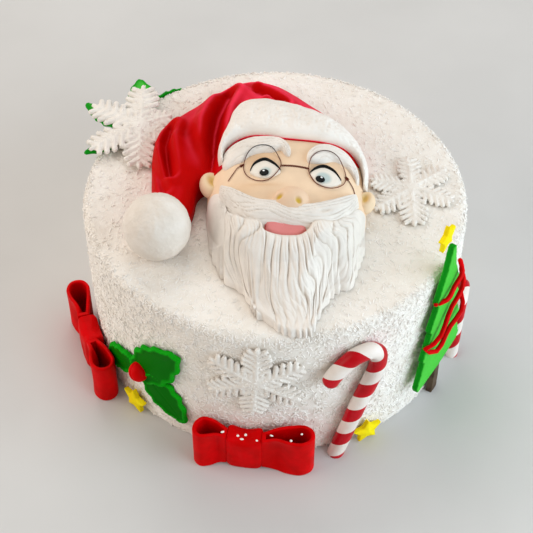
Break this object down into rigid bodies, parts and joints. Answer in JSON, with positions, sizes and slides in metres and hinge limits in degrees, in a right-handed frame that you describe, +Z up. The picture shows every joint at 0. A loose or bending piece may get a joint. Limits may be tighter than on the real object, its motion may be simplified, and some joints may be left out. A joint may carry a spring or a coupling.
{
  "type": "christmas cake",
  "caption": "Round coconut-coated christmas cake with a bearded face in a red hat on its top and snowflakes, holly, stars, candy canes, a tree and ribbon bows round it.",
  "frame": {"origin": "centre of the cake's flat base, on its upright axis", "axes": "+Z up, -Y towards the front, where the beard's tip points, +X to the right seen from the front"},
  "size_m": [0.2279, 0.2337, 0.1312],
  "materials": {
    "coconut": "white cream covered in shredded coconut",
    "white_paste": "matt white sugar paste",
    "skin_paste": "matt skin-coloured sugar paste",
    "pink_paste": "satin pink sugar paste",
    "red_paste": "satin red sugar paste",
    "green_paste": "matt dark green sugar paste",
    "light_green_paste": "matt bright green sugar paste",
    "yellow_paste": "matt yellow sugar paste",
    "brown_paste": "matt dark brown sugar paste",
    "black_paste": "satin black sugar paste",
    "wire": "dark red-brown painted wire",
    "cane_paste": "glossy sugar paste, white with red bands"
  },
  "bodies": {
    "root": {"cake": "coconut", "head": "skin_paste", "ear_left": "skin_paste", "ear_right": "skin_paste", "nose": "skin_paste", "mouth": "pink_paste", "beard": "white_paste", "moustache": "white_paste", "eyebrow_left": "white_paste", "eyebrow_right": "white_paste", "eye_left": "white_paste", "eye_right": "white_paste", "lid_left": "black_paste", "lid_right": "black_paste", "pupil_left": "black_paste", "pupil_right": "black_paste", "glasses": "wire", "hat": "red_paste", "hat_brim": "white_paste", "pompom": "white_paste", "snowflake_left": "white_paste", "snowflake_right": "white_paste", "snowflake_front": "white_paste", "snowflake_back": "white_paste", "holly_front_leaf_1": "green_paste", "holly_front_leaf_2": "green_paste", "holly_front_leaf_3": "green_paste", "holly_front_berry": "red_paste", "holly_back_leaf_1": "light_green_paste", "holly_back_leaf_2": "light_green_paste", "holly_back_leaf_3": "light_green_paste", "holly_back_leaf_4": "light_green_paste", "star_left": "yellow_paste", "star_right": "yellow_paste", "star_back": "yellow_paste", "star_tree": "yellow_paste", "candy_cane_front": "cane_paste", "candy_cane_far": "cane_paste", "tree": "light_green_paste", "tree_trunk": "brown_paste", "garland_top": "red_paste", "garland_low": "red_paste", "bow_front_knot": "red_paste", "bow_front_loop_left": "red_paste", "bow_front_loop_right": "red_paste", "bow_left_knot": "red_paste", "bow_left_loop_left": "red_paste", "bow_left_loop_right": "red_paste", "bow_back_knot": "red_paste", "bow_back_loop_left": "red_paste", "bow_back_loop_right": "red_paste"}
  },
  "joints": []
}
